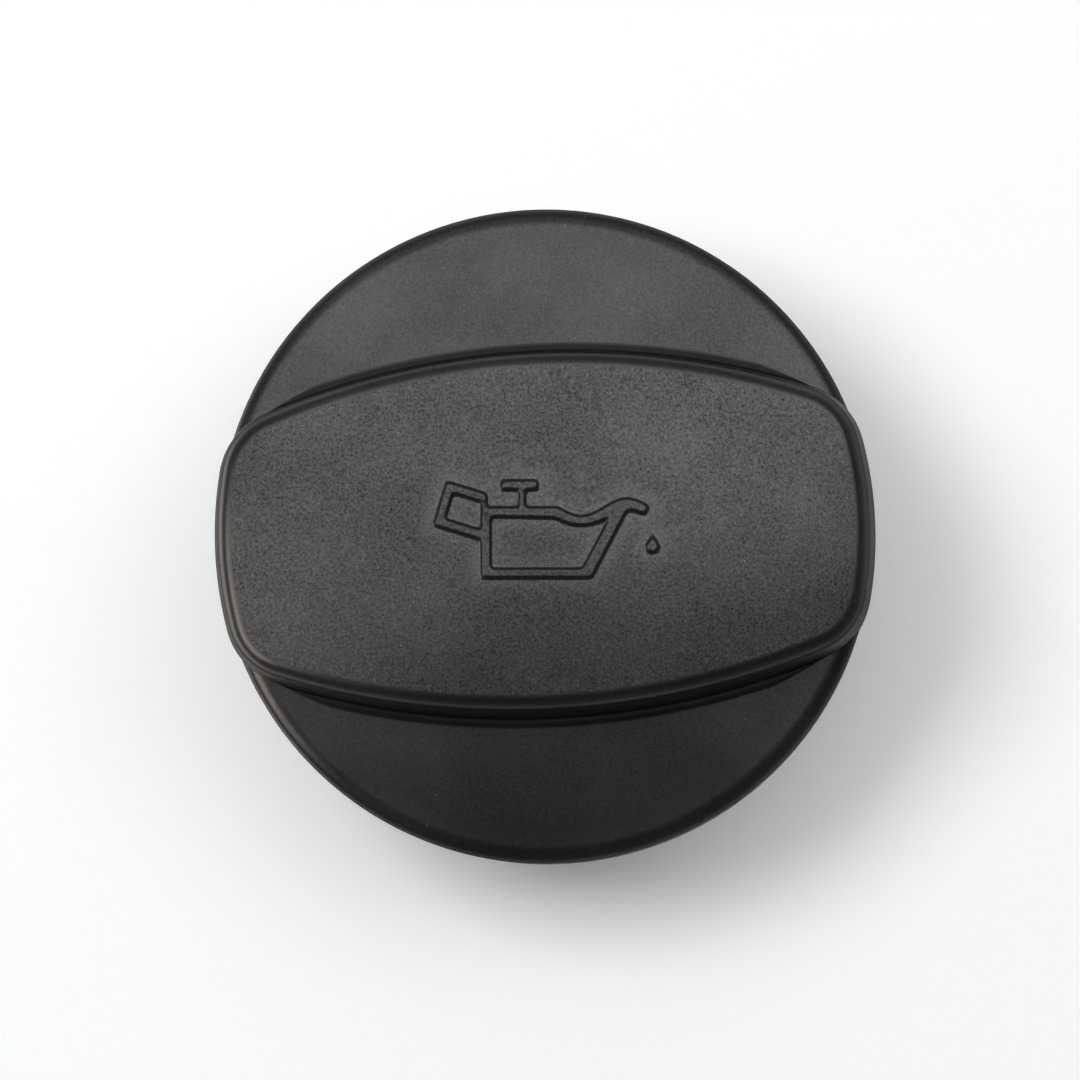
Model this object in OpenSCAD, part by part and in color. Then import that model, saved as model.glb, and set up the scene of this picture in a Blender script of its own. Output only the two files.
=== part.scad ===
// Quarter-turn oil filler cap, standing on its plug with the handle up.
// Millimetres. Origin: middle of the plug's lower rim. +Z up, +X along the handle.

/* [Cover] */
// Diameter of the round cover over its skirt
cap_d = 64; // [60:0.5:70]
// Height of the skirt, from its lower rim to the edge of the domed top
skirt_h = 9; // [8.5:0.5:14]
// Rise of the domed top, from its edge to the middle
dome_h = 1.6; // [1:0.1:2.4]
// Radius that rounds the edge of the top
rim_r = 1.8; // [1:0.1:2.2]
// Thickness of the cover's walls
cap_wall = 2.4; // [2:0.1:2.8]
// Chamfer round the skirt's lower rim
skirt_chamfer = 0.4; // [0.2:0.1:0.8]

/* [Handle] */
// Length of the handle over its two ends
grip_l = 64.4; // [64.2:0.1:65.6]
// Width of the handle in the middle, over its foot
grip_w = 35.6; // [32:0.1:40]
// Height of the handle over the middle of the domed top
grip_h = 8; // [6.5:0.1:9.5]
// Radius of the two long sides, seen from above
grip_side_r = 79; // [68:1:95]
// Radius of the two ends, seen from above
grip_end_r = 37.5; // [35:0.5:46]
// Radius of the four corners, seen from above
grip_corner_r = 7.2; // [5:0.2:9]
// Radius of the crown along the handle
grip_crown_r = 134; // [115:1:180]
// Radius of the crown across the handle
grip_cross_r = 320; // [220:10:500]
// How far the walls lean in from the foot to the top
grip_draft = 0.5; // [0.2:0.1:0.9]
// Radius that rounds the handle's upper edge
grip_edge_r = 1.4; // [0.8:0.1:1.6]
// Radius of the hollow fillet where the handle grows out of the top
grip_foot_r = 1; // [0.3:0.1:1.4]
// Step between the skirt's lower rim and the foot of the handle's ends
grip_end_step = 1; // [0.6:0.1:2]

/* [Oil can sign] */
// Height of the raised sign over the handle
sign_relief = 0.28; // [0.2:0.02:0.5]
// Turn of the sign to the handle
sign_turn = -2.75; // [-6:0.05:6]
// Place of the can's middle along the handle
sign_place = -0.54; // [-1:0.02:1]
// Width of the strokes
sign_stroke = 1.1; // [0.8:0.02:1.3]
// Width of the slanted stroke under the spout
sign_slant_stroke = 1.38; // [1:0.02:1.6]
// Width of the can at its base
can_w = 10.75; // [10:0.05:12]
// Height of the can
can_h = 7; // [6.4:0.1:7.6]
// Height of the can's upper edge over the middle of the handle
can_rise = 2.32; // [1.8:0.02:2.8]
// Distance from the middle to where the dip of the spout starts
spout_from = 2.17; // [1.5:0.01:2.6]
// Length of the dip
dip_l = 4.34; // [3.6:0.02:5]
// Depth of the dip
dip_h = 0.85; // [0.5:0.05:1.1]
// Length of the raised end of the spout
nose_l = 4.5; // [4:0.1:5]
// Height of the raised end of the spout
nose_h = 0.85; // [0.5:0.05:1.1]
// Length of the knob's bar on the lid
knob_l = 3.73; // [3:0.1:4.4]
// Height of the knob's top over the lid
knob_h = 2.6; // [2.2:0.1:3]
// Place of the knob, from the middle of the can
knob_at = -1.6; // [-2.4:0.1:0]
// Width of the knob's stem
knob_stem = 0.8; // [0.6:0.1:1.2]
// Shift of the stem from the middle of the bar
knob_lean = 0.25; // [0:0.05:0.6]
// Reach of the can's handle out of its side
ear_reach = 4.66; // [4:0.02:5]
// Length of the outer side of the can's handle
ear_l = 4.6; // [4.2:0.05:5]
// Slope of the handle's upper and lower side
ear_slope = 17.3; // [10:0.1:22]
// Lean of the handle's outer side
ear_lean = 16.8; // [12:0.1:20]
// Height of the handle's outer corner over the can's upper edge
ear_rise = 2.55; // [2.2:0.05:2.8]
// Width of the upright stroke between the can and its handle
ear_post = 0.72; // [0.5:0.02:1]
// Radius of the drop
drop_r = 0.72; // [0.6:0.01:0.8]
// Height of the drop
drop_h = 2.1; // [1.8:0.02:2.4]
// Distance of the drop from the middle
drop_at = 11.18; // [10.6:0.01:11.6]
// Depth of the drop's tip under the can's upper edge
drop_down = 2.5; // [2.2:0.02:3]

/* [Inside of the cover] */
// Number of stiffening ribs
rib_n = 12; // [8:2:16]
// Thickness of the ribs
rib_t = 1.6; // [1.2:0.1:2]
// Thickness of the ring that holds the plug
socket_wall = 2.3; // [2:0.1:2.8]

/* [Plug] */
// Depth of the step from the spigot down to the pilot, the plug's lower end
pilot_step = 1; // [0.6:0.1:2]
// Length of the pilot
pilot_h = 6; // [5:0.5:8]
// Thickness of the spigot's wall
spigot_wall = 2.6; // [2:0.1:3]
// Free height between the lugs and the sealing ring
ledge_gap = 7.5; // [6.5:0.5:10]
// Thickness of the flange
flange_t = 2; // [1.8:0.1:2.2]
// Gap between the flange and the inside of the skirt
skirt_gap = 3.6; // [3:0.1:4.6]
// Width of the flange outside the head
flange_out = 4; // [3.4:0.1:5]
// Thickness of the head's wall
head_wall = 2; // [1.6:0.1:2.4]
// Width of the hollow between the head's wall and the middle plate
head_core = 2.6; // [1.6:0.1:3]
// Height of the head over the flange
head_h = 1.5; // [1.4:0.05:1.6]
// Height of the bead that snaps into the ring
bead_h = 0.45; // [0.3:0.05:0.5]
// Width of the keys that turn the plug
key_w = 4; // [3:0.5:6]
// Reach of the keys out of the head
key_reach = 1.4; // [1:0.1:1.6]
// Thickness of the cross web inside the plug
web_t = 1.8; // [1.4:0.1:2.2]
// Height of the cross web
web_h = 9; // [6:0.5:11]
// Chamfer on the pilot's lower edge
pilot_chamfer = 0.8; // [0.4:0.1:1.2]

/* [Bayonet lugs] */
// Reach of the lugs out of the spigot
lug_reach = 4.2; // [3:0.1:4.8]
// Thickness of the lugs at the thick end
lug_t = 3.4; // [2.8:0.1:4]
// Angle that each lug covers
lug_angle = 48; // [36:1:60]
// Slope of the lugs' upper face
lug_slope = 4; // [2:0.5:5]
// Thickness of the stop at the end of each lug
stop_t = 2; // [1.6:0.1:2.6]
// Height of the stop over the lug
stop_h = 3; // [2:0.5:4]
// Distance of the stop from the lug's edges
stop_in = 0.6; // [0.3:0.1:1]

/* [Sealing ring] */
// Free thickness of the sealing ring
seal_t = 2.6; // [2.2:0.1:3.2]
// Width of the flange left free outside the sealing ring
seal_margin = 1.7; // [1:0.1:2.4]
// Width of the sealing ring outside the spigot
seal_w = 6.7; // [5.5:0.1:7.5]
// Depth of the groove that holds the ring on the spigot
seal_groove = 0.6; // [0.4:0.1:0.8]
// Depth of the seat inside the skirt's lower rim
seat_in = 1.2; // [0.6:0.1:1.6]
// Rounding of the ring's edges
seal_round = 0.5; // [0.3:0.1:0.8]

/* [Fits] */
// Radial play between the plug's head and the ring in the cover
head_play = 0.15; // [0.1:0.05:0.25]
// Play round the bead and the keys
snap_play = 0.12; // [0.08:0.02:0.2]
// Radial play between the sealing ring and its groove
seal_play = 0.1; // [0.05:0.05:0.2]
// Air between the plug's head and the ribs over it
head_air = 0.4; // [0.3:0.1:0.6]

/* [Hidden] */
$fn = 96;

cap_r = cap_d / 2;
skirt_in_r = cap_r - cap_wall;
flange_r = skirt_in_r - skirt_gap;
head_r = flange_r - flange_out;
seal_r = flange_r - seal_margin;
spigot_r = seal_r - seal_w;
pilot_r = spigot_r - pilot_step;
cup_r = pilot_r - spigot_wall;
lug_z = pilot_h + pilot_step / 2;
seat_z = lug_z + lug_t + ledge_gap;
flange_z = seat_z + seal_t;
ring_z = flange_z + flange_t;
head_z = ring_z + head_h;
skirt_z = seat_z - seat_in;
rim_z = skirt_z + skirt_h;
dome_z = rim_z + dome_h;
grip_z = dome_z + grip_h;
socket_r = head_r + head_play;
cup_top = head_z - flange_t;
bead_z = ring_z + head_h / 2;
rib_clear = 0.5;
deep = 60;
eps = 0.01;

// Height of the domed top at a distance from the middle
function dome_at(r) = rim_z + dome_h * (1 - pow(r / cap_r, 2));

// Height of the crowned handle over a place in plan
function crown_at(x, y) = grip_z - x * x / (2 * grip_crown_r) - y * y / (2 * grip_cross_r);

function clamp01(t) = min(1, max(0, t));

// Middles of the arcs that bound the handle in plan
side_c = [0, grip_w / 2 - grip_side_r];
end_c = [grip_l / 2 - grip_end_r, 0];
arc_gap = end_c - side_c;
arc_dist = norm(arc_gap);
arc_a = grip_side_r - grip_corner_r;
arc_b = grip_end_r - grip_corner_r;
arc_along = (arc_a * arc_a - arc_b * arc_b + arc_dist * arc_dist) / (2 * arc_dist);
arc_off = sqrt(arc_a * arc_a - arc_along * arc_along);
arc_u = arc_gap / arc_dist;
corner_c = side_c + arc_along * arc_u + arc_off * [arc_u.y, -arc_u.x];
side_from = atan2(corner_c.y - side_c.y, corner_c.x - side_c.x);
end_to = atan2(corner_c.y - end_c.y, corner_c.x - end_c.x);

// Steps along each end, corner and side of the handle's outline
end_steps = 10;
corner_steps = 8;
side_steps = 22;

// Samples of one arc: middle, radius and angle
function arc(c, r, a0, a1, n) = [for (i = [0:n - 1]) [c.x, c.y, r, a0 + (a1 - a0) * i / n]];

outline = concat(
    arc(end_c, grip_end_r, -end_to, end_to, end_steps),
    arc(corner_c, grip_corner_r, end_to, side_from, corner_steps),
    arc(side_c, grip_side_r, side_from, 180 - side_from, side_steps),
    arc([-corner_c.x, corner_c.y], grip_corner_r, 180 - side_from, 180 - end_to, corner_steps),
    arc(-end_c, grip_end_r, 180 - end_to, 180 + end_to, end_steps),
    arc(-corner_c, grip_corner_r, 180 + end_to, 180 + side_from, corner_steps),
    arc(-side_c, grip_side_r, 180 + side_from, 360 - side_from, side_steps),
    arc([corner_c.x, -corner_c.y], grip_corner_r, 360 - side_from, 360 - end_to, corner_steps)
);

// Point of the outline, moved in by d
function inset(s, d) = [s[0] + (s[2] - d) * cos(s[3]), s[1] + (s[2] - d) * sin(s[3])];

// Share of the foot's fillet: none where the handle stands out over the rim
foot_fade = 4;
function foot_share(s) = clamp01((cap_r - rim_r - norm(inset(s, 0))) / foot_fade);

// One level of the foot: spread out and raised over the domed top
function foot_ring(out, up) = [for (s = outline)
    let (p = inset(s, -out * grip_foot_r * foot_share(s)))
    [p.x, p.y, dome_at(norm(p)) + up]];

// One level of the upper edge: moved in and lowered under the crown
function edge_ring(d, down) = [for (s = outline)
    let (p = inset(s, d))
    [p.x, p.y, crown_at(p.x, p.y) - down]];

// One level of the crowned top, drawn towards the middle
function crown_ring(k) = [for (s = outline)
    let (p = inset(s, grip_draft + grip_edge_r) * k)
    [p.x, p.y, crown_at(p.x, p.y)]];

foot_sink = 0.4;
edge_steps = 5;
crown_shares = [0.9, 0.76, 0.6, 0.42, 0.22];

// The handle as a loft: foot, fillet, wall, rounded edge and crown
module grip_loft() {
    base = [for (s = outline)
        let (p = inset(s, -grip_foot_r * foot_share(s)))
        [p.x, p.y, skirt_z + grip_end_step]];
    rings = concat(
        [base],
        [foot_ring(1, -foot_sink)],
        [for (a = [30, 60, 90]) foot_ring(1 - sin(a), grip_foot_r * (1 - cos(a)))],
        [for (i = [0:edge_steps])
            let (a = 90 * i / edge_steps)
            edge_ring(grip_draft + grip_edge_r * (1 - cos(a)), grip_edge_r * (1 - sin(a)))],
        [for (k = crown_shares) crown_ring(k)]
    );
    n = len(outline);
    m = len(rings);
    points = concat([for (r = rings, p = r) p], [[0, 0, grip_z]]);
    walls = [for (k = [0:m - 2], j = [0:n - 1])
        let (a = k * n + j, b = k * n + (j + 1) % n)
        each [[a, a + n, b + n], [a, b + n, b]]];
    cap = [for (j = [0:n - 1]) [m * n, (m - 1) * n + (j + 1) % n, (m - 1) * n + j]];
    polyhedron(points = points, faces = concat([[for (j = [0:n - 1]) j]], walls, cap), convexity = 6);
}

// Half section of the cover's round body, solid below the dome
module cover_section() {
    dome_steps = 9;
    rim_steps = 5;
    dome_from = cap_r - rim_r;
    rim_c = dome_at(dome_from) - rim_r;
    polygon(concat(
        [[0, skirt_z], [cap_r - skirt_chamfer, skirt_z], [cap_r, skirt_z + skirt_chamfer]],
        [for (i = [0:rim_steps])
            let (a = 86 * i / rim_steps)
            [dome_from + rim_r * cos(a), rim_c + rim_r * sin(a)]],
        [for (i = [1:dome_steps])
            let (r = dome_from * (1 - i / dome_steps))
            [r, dome_at(r)]]
    ));
}

// Half section of the hollow inside the skirt, up to the ceiling
module hollow_section() {
    dome_steps = 6;
    round_r = 1.2;
    polygon(concat(
        [[0, skirt_z - 1], [skirt_in_r, skirt_z - 1]],
        [[skirt_in_r, dome_at(skirt_in_r) - cap_wall - round_r]],
        [for (i = [0:dome_steps])
            let (r = (skirt_in_r - round_r) * (1 - i / dome_steps))
            [r, dome_at(r) - cap_wall]]
    ));
}

// Hollow inside the handle, one wall in from its outside
module grip_hollow() {
    in = cap_wall + grip_draft;
    intersection() {
        translate([0, 0, ring_z - 1])
            linear_extrude(grip_z - ring_z)
                intersection() {
                    translate(side_c) circle(grip_side_r - in, $fn = 200);
                    translate(-side_c) circle(grip_side_r - in, $fn = 200);
                    translate(end_c) circle(grip_end_r - in, $fn = 200);
                    translate(-end_c) circle(grip_end_r - in, $fn = 200);
                }
        translate([0, 0, grip_z - grip_crown_r])
            rotate([90, 0, 0])
                cylinder(h = 2 * cap_d, r = grip_crown_r - cap_wall, center = true, $fn = 400);
    }
}

// Ring that holds the plug, with the groove for its bead and the slots for its keys
module socket_ring() {
    difference() {
        translate([0, 0, ring_z]) cylinder(h = deep, r = socket_r + socket_wall);
        translate([0, 0, ring_z - 1]) cylinder(h = deep + 2, r = socket_r);
        rotate_extrude()
            polygon([
                [socket_r - 1, bead_z - bead_h - snap_play],
                [socket_r, bead_z - bead_h - snap_play],
                [socket_r + bead_h, bead_z - snap_play],
                [socket_r + bead_h, bead_z + snap_play],
                [socket_r, bead_z + bead_h + snap_play],
                [socket_r - 1, bead_z + bead_h + snap_play]
            ]);
        keys(key_w + 2 * snap_play, head_r + key_reach + snap_play, ring_z - 1, head_h + 1 + head_air);
    }
}

// Keys or their slots, two pairs across the middle
module keys(w, reach, z, h) {
    for (a = [45, 135])
        rotate(a)
            translate([-reach, -w / 2, z])
                cube([2 * reach, w, h]);
}

// Stiffening ribs under the top, kept clear of the plug's head and flange
module ribs() {
    for (i = [0:rib_n / 2 - 1])
        rotate(180 * i / (rib_n / 2))
            difference() {
                translate([-cap_r, -rib_t / 2, ring_z + rib_clear])
                    cube([cap_d, rib_t, deep]);
                translate([-socket_r - socket_wall / 2, -rib_t, ring_z])
                    cube([2 * socket_r + socket_wall, 2 * rib_t, head_h + head_air]);
            }
}

module cover_hollow() {
    difference() {
        union() {
            rotate_extrude() hollow_section();
            grip_hollow();
        }
        socket_ring();
        ribs();
    }
}

// Upper edge of the can and its spout
function swan(x) = can_rise + (
    x < spout_from ? 0 :
    x < spout_from + dip_l ? -dip_h * sin(180 * (x - spout_from) / dip_l) :
    nose_h * sin(180 * (x - spout_from - dip_l) / nose_l));

// Outer contour of the can with its spout
module can_outer() {
    tip = spout_from + dip_l + nose_l;
    slant = tip - nose_l / 2 - can_w / 2;
    polygon(concat(
        [[-can_w / 2, can_rise - can_h], [-can_w / 2, can_rise]],
        [for (i = [0:8]) let (x = spout_from + dip_l * i / 8) [x, swan(x)]],
        [for (i = [1:8]) let (x = spout_from + dip_l + nose_l * i / 8) [x, swan(x)]],
        [[tip - sign_stroke / 2, can_rise - sign_stroke * 0.85]],
        [[tip - nose_l * 0.37, can_rise - sign_stroke * 0.45]],
        [[can_w / 2 + slant, can_rise - sign_stroke / 2]],
        [[can_w / 2, can_rise - can_h]]
    ));
}

// Inner contour of the can
module can_inner() {
    low = can_rise - can_h + sign_stroke;
    lean = (spout_from + dip_l + nose_l / 2 - can_w / 2) / (can_h - sign_stroke / 2);
    right = can_w / 2 + lean * sign_stroke - sign_slant_stroke * sqrt(1 + lean * lean);
    polygon(concat(
        [[-can_w / 2 + sign_stroke, low], [-can_w / 2 + sign_stroke, can_rise - sign_stroke]],
        [for (i = [0:8])
            let (x = spout_from + dip_l * i / 8)
            [x - sign_stroke * 0.35 * (1 - i / 4), swan(x) - sign_stroke * (1 + 0.12 * abs(1 - i / 4))]],
        [[right, low]]
    ));
}

// Sloped loop at the back of the can, its handle
module can_ear() {
    side = [sin(ear_lean), cos(ear_lean)];
    along = [cos(ear_slope), -sin(ear_slope)];
    wall = -can_w / 2;
    low = [wall - ear_reach, can_rise + ear_rise - ear_l * side.y];
    top = low + ear_l * side;
    in_low = low + sign_stroke * (along + side);
    in_top = top + sign_stroke * (along - side);
    post = wall + ear_post;
    difference() {
        polygon([
            low,
            top,
            top + along * (post - top.x) / along.x,
            [post, can_rise - sign_stroke / 2],
            low + along * (post - low.x) / along.x
        ]);
        polygon([
            in_low,
            in_top,
            in_top + along * (wall - in_top.x) / along.x,
            in_low + along * (wall - in_low.x) / along.x
        ]);
    }
}

// The whole sign in plan: can and spout, handle, knob on the lid and the drop
module oil_can_sign() {
    difference() {
        can_outer();
        can_inner();
    }
    can_ear();
    translate([knob_at - knob_l / 2, can_rise + knob_h - sign_stroke]) square([knob_l, sign_stroke]);
    translate([knob_at - knob_stem / 2 + knob_lean, can_rise - sign_stroke / 2]) square([knob_stem, knob_h]);
    translate([drop_at, can_rise - drop_down - drop_h + drop_r]) circle(drop_r, $fn = 32);
    translate([drop_at, can_rise - drop_down])
        polygon([[0, 0], [-drop_r * 0.9, -drop_h + drop_r * 1.4], [drop_r * 0.9, -drop_h + drop_r * 1.4]]);
}

// The sign stands on the crowned handle as a thin relief
module raised_sign() {
    sink = cap_wall / 2;
    intersection() {
        translate([0, 0, grip_z - sink])
            linear_extrude(sink + 2 * sign_relief)
                translate([sign_place, 0]) rotate(sign_turn) oil_can_sign();
        translate([0, 0, grip_z - grip_crown_r])
            rotate([90, 0, 0])
                cylinder(h = cap_d, r = grip_crown_r + sign_relief, center = true, $fn = 400);
    }
}

module handle_cover() {
    color([0.17, 0.17, 0.17]) {
        difference() {
            union() {
                rotate_extrude() cover_section();
                grip_loft();
            }
            cover_hollow();
        }
        raised_sign();
    }
}

// Half section of the plug: pilot, spigot, groove, flange and head
module plug_section() {
    core_out = head_r - head_wall;
    core_in = core_out - head_core;
    polygon([
        [cup_r + 0.3, 0],
        [pilot_r - pilot_chamfer, 0],
        [pilot_r, pilot_chamfer],
        [pilot_r, pilot_h],
        [spigot_r, pilot_h + pilot_step],
        [spigot_r, seat_z],
        [spigot_r - seal_groove, seat_z],
        [spigot_r - seal_groove, flange_z],
        [flange_r - 0.3, flange_z],
        [flange_r, flange_z + 0.3],
        [flange_r, ring_z],
        [head_r, ring_z],
        [head_r, bead_z - bead_h],
        [head_r + bead_h - snap_play, bead_z - snap_play],
        [head_r + bead_h - snap_play, bead_z + snap_play],
        [head_r, bead_z + bead_h],
        [head_r - 0.2, head_z],
        [core_out, head_z],
        [core_out, ring_z],
        [core_in, ring_z],
        [core_in, head_z],
        [0, head_z],
        [0, cup_top],
        [cup_r - 1, cup_top],
        [cup_r, cup_top - 1]
    ]);
}

// One bayonet lug with its sloped upper face and the stop at its thick end
module lug() {
    reach = spigot_r + lug_reach;
    half = lug_angle / 2;
    difference() {
        translate([0, 0, lug_z])
            rotate(-half)
                rotate_extrude(angle = lug_angle)
                    polygon([
                        [cup_r + spigot_wall / 2, 0],
                        [reach - 0.6, 0],
                        [reach, 0.6],
                        [reach, lug_t],
                        [cup_r + spigot_wall / 2, lug_t]
                    ]);
        translate([0, reach * sin(half), lug_z + lug_t])
            rotate([lug_slope, 0, 0])
                translate([cup_r + spigot_wall, -3 * reach, 0])
                    cube([reach, 4 * reach, lug_t]);
    }
    rotate(half)
        translate([spigot_r - spigot_wall / 2, -stop_t - stop_in, lug_z + lug_t / 2])
            cube([lug_reach + spigot_wall / 2 - stop_in, stop_t, lug_t / 2 + stop_h]);
}

module bayonet_plug() {
    color([0.14, 0.14, 0.15]) {
        rotate_extrude() plug_section();
        for (a = [0, 180])
            rotate(a) lug();
        difference() {
            keys(key_w, head_r + key_reach, ring_z - eps, head_h - 0.2);
            translate([0, 0, ring_z - 1]) cylinder(h = head_h + 2, r = head_r - 1);
        }
        intersection() {
            translate([0, 0, cup_top - web_h]) cylinder(h = web_h + eps, r = cup_r + spigot_wall / 2);
            for (a = [45, 135])
                rotate(a)
                    translate([-cap_r, -web_t / 2, cup_top - web_h])
                        cube([cap_d, web_t, web_h + eps]);
        }
    }
}

// The sealing ring lies in the groove, under the flange
module sealing_ring() {
    in = spigot_r - seal_groove + seal_play;
    color([0.06, 0.06, 0.06])
        rotate_extrude()
            polygon([
                [in, seat_z + seal_round],
                [in + seal_round, seat_z],
                [seal_r - seal_round, seat_z],
                [seal_r, seat_z + seal_round],
                [seal_r, flange_z - seal_round],
                [seal_r - seal_round, flange_z],
                [in, flange_z]
            ]);
}

handle_cover();
bayonet_plug();
sealing_ring();
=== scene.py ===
"""Dresses a quarter-turn oil filler cap: a grained grip across a round cover, its raised oil can sign,
the bayonet plug and the sealing ring, on a pale studio floor."""

import math

import bmesh
import bpy
import numpy as np
from bpy.props import FloatProperty, FloatVectorProperty, IntProperty, PointerProperty
from mathutils import Matrix, Vector


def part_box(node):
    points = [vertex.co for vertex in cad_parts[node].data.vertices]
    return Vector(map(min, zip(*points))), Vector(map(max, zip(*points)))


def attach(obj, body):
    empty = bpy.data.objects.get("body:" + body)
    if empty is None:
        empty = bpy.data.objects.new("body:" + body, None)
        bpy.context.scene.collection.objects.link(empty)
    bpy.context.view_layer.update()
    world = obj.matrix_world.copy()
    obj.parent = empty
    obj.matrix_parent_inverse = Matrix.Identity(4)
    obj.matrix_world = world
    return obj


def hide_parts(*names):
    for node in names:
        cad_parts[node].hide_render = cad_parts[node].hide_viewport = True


bl_info = {
    "name": "Oil filler cap",
    "version": (1, 0, 0),
    "blender": (4, 5, 0),
    "location": "3D View > Sidebar > Oil cap",
    "description": "Builds the looks of a moulded oil filler cap round its solid model",
    "category": "Add Mesh",
}

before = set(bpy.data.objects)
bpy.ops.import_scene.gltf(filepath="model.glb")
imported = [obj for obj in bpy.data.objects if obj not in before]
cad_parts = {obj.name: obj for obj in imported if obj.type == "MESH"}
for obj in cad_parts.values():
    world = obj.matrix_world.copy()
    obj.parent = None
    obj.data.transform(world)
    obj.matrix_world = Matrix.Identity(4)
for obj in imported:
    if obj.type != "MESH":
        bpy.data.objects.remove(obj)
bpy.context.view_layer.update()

MM = 0.001
BODY = "root"
COVER_LOW, COVER_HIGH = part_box("handle_cover")


def srgb(code):
    """Linear colour of an sRGB hex code: the display curve taken back, channel by channel."""
    parts = [int(code[i:i + 2], 16) / 255 for i in (1, 3, 5)]
    return tuple(c / 12.92 if c <= 0.04045 else ((c + 0.055) / 1.055) ** 2.4 for c in parts)


def length(name, default, description):
    """A length property in metres whose default is given in millimetres."""
    return FloatProperty(name=name, default=default * MM, unit="LENGTH", precision=5, description=description)


def colour(name, code, description):
    """A colour property whose default is an sRGB hex code."""
    return FloatVectorProperty(
        name=name, default=srgb(code), subtype="COLOR", size=3, min=0, max=1, description=description)


class CoverSizes(bpy.types.PropertyGroup):
    """Round cover with its skirt."""

    diameter: length("Diameter", (COVER_HIGH.y - COVER_LOW.y) / MM, "Outer diameter of the cover")
    skirt_low: length("Skirt's lower edge", COVER_LOW.z / MM, "Height of the skirt's lower edge")
    skirt_height: length("Skirt's height", 9, "Height of the skirt up to the edge of the top")
    dome: length("Dome", 1.6, "Rise of the domed top in its middle")
    wall: length("Wall", 2.4, "Thickness of the skirt's wall")
    rim_radius: length("Rim radius", 2.0, "Reach of the rounding of the cover's upper edge")
    rim_drop: length("Rim drop", 1.1, "Height of that rounding, which starts flat")
    chamfer: length("Chamfer", 0.4, "Rounding of the skirt's lower edge")


class GripSizes(bpy.types.PropertyGroup):
    """Barrel-shaped grip across the cover."""

    length: length("Length", (COVER_HIGH.x - COVER_LOW.x) / MM, "Length over the grip's ends")
    width: length("Width", 35.6, "Width in the middle")
    height: length("Height", 8, "Height over the middle of the cover")
    side_radius: length("Side radius", 79, "Radius of the long sides in plan")
    end_radius: length("End radius", 37.5, "Radius of the ends in plan")
    corner_radius: length("Corner radius", 7.2, "Radius of the corners in plan")
    crown_radius: length("Crown radius", 134, "Radius of the crowned top along the grip")
    cross_radius: length("Cross radius", 320, "Radius of the crowned top across the grip")
    draft: length("Draft", 0.5, "Inward lean of the walls over their height")
    edge_radius: length("Edge radius", 1.4, "Rounding of the upper edge")
    foot_radius: length("Foot radius", 1.0, "Fillet where the grip meets the cover")
    foot_fade: length("Foot fade", 4, "Length over which that fillet runs out at the rim")
    end_step: length("End step", 1, "Height of the grip's ends over the skirt's lower edge")


class SignSizes(bpy.types.PropertyGroup):
    """Raised oil can with a drop."""

    relief: length("Relief", 0.28, "Height of the sign over the grip")
    turn: FloatProperty(name="Turn", default=math.radians(-2.75), subtype="ANGLE",
                        description="Turn of the sign against the grip")
    place: length("Place", -0.54, "Place of the can's middle along the grip")
    stroke: length("Stroke", 1.1, "Width of the lines")
    slant_stroke: length("Slant stroke", 1.38, "Width of the can's slanted front line")
    can_width: length("Can width", 10.75, "Width of the can at its foot")
    can_height: length("Can height", 7.0, "Height of the can")
    can_rise: length("Can rise", 2.32, "Height of the can's top line over the grip's middle")
    spout_from: length("Spout from", 2.17, "Where the top line starts to dip into the spout")
    dip_length: length("Dip length", 4.34, "Length of the dip before the spout")
    dip: length("Dip", 0.85, "Depth of that dip")
    nose_length: length("Nose length", 4.5, "Length of the spout's nose")
    nose: length("Nose", 0.85, "Rise of the spout's nose")
    knob_width: length("Knob width", 3.73, "Width of the knob on the lid")
    knob_height: length("Knob height", 2.6, "Height of the knob over the can")
    knob_at: length("Knob at", -1.6, "Place of the knob along the can")
    knob_stem: length("Knob stem", 0.8, "Width of the knob's stem")
    knob_lean: length("Knob lean", 0.25, "Shift of the stem under the knob")
    ear_reach: length("Ear reach", 4.66, "Reach of the can's handle behind the can")
    ear_length: length("Ear length", 4.6, "Length of the handle's back line")
    ear_slope: FloatProperty(name="Ear slope", default=math.radians(17.3), subtype="ANGLE",
                             description="Slope of the handle's upper and lower lines")
    ear_lean: FloatProperty(name="Ear lean", default=math.radians(16.8), subtype="ANGLE",
                            description="Lean of the handle's back line")
    ear_rise: length("Ear rise", 2.55, "Height of the handle's top over the can")
    ear_post: length("Ear post", 0.72, "Width of the joint between can and handle")
    drop_radius: length("Drop radius", 0.72, "Radius of the drop")
    drop_height: length("Drop height", 2.1, "Height of the drop")
    drop_at: length("Drop at", 11.18, "Place of the drop along the can")
    drop_down: length("Drop down", 2.5, "Depth of the drop's tip under the can's top line")
    slope_out: length("Slope out", 0.08, "How far the sign's flanks spread outside its lines")
    slope_in: length("Slope in", 0.28, "How far the flanks reach inside the lines")
    soften: length("Soften", 0.2, "Rounding of the lines' corners in plan")
    margin: length("Margin", 2.0, "Free border of the sign's field round the sign")
    step: length("Step", 0.06, "Spacing of the sign field's points")


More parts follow.
